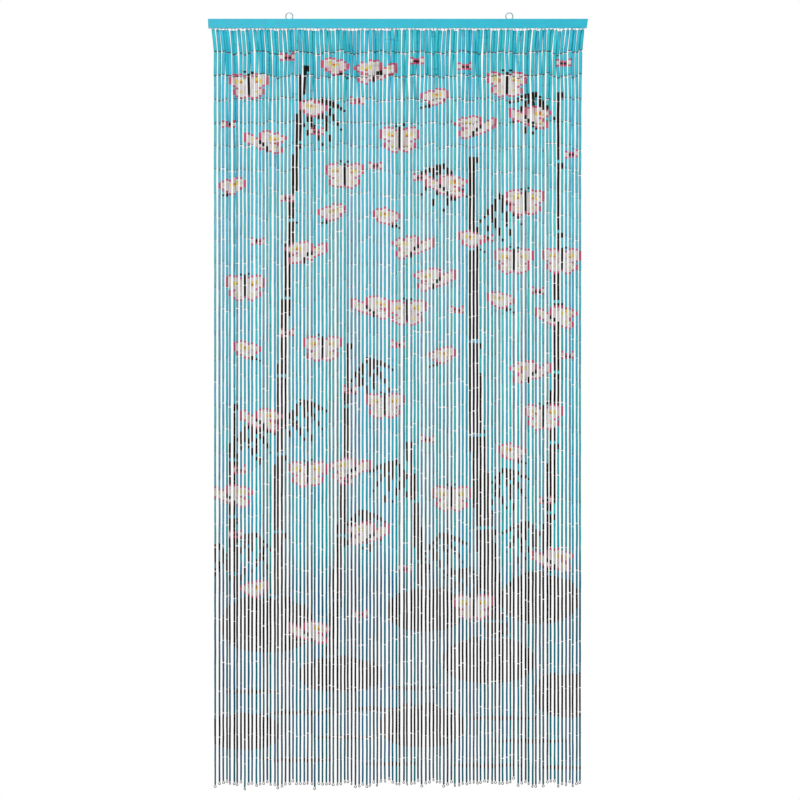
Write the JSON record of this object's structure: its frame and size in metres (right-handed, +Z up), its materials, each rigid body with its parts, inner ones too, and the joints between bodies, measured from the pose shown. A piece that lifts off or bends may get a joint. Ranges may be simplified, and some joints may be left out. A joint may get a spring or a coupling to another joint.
{
  "type": "bamboo fly screen curtain on its rail",
  "caption": "Door curtain of painted bamboo tubes strung on wire, hanging in two close rows from a painted wooden rail with two wire hanging loops.",
  "frame": {"origin": "the line where wall hooks bear in the two hanging loops, above the middle of the rail", "axes": "+X along the rail to the right as seen from the front, +Z up, the painted front faces -Y"},
  "size_m": [1, 0.018, 2.0473],
  "materials": {
    "rail_paint": "smooth turquoise paint on pine, satin",
    "bamboo_paint": "painted bamboo in bands of turquoise, dark brown, white, rose and yellow, satin",
    "steel_wire": "plain drawn wire, dull"
  },
  "bodies": {
    "root": {"rail": "rail_paint", "loop_left": "steel_wire", "loop_right": "steel_wire", "strands_front": "bamboo_paint", "strands_back": "bamboo_paint"}
  },
  "joints": []
}
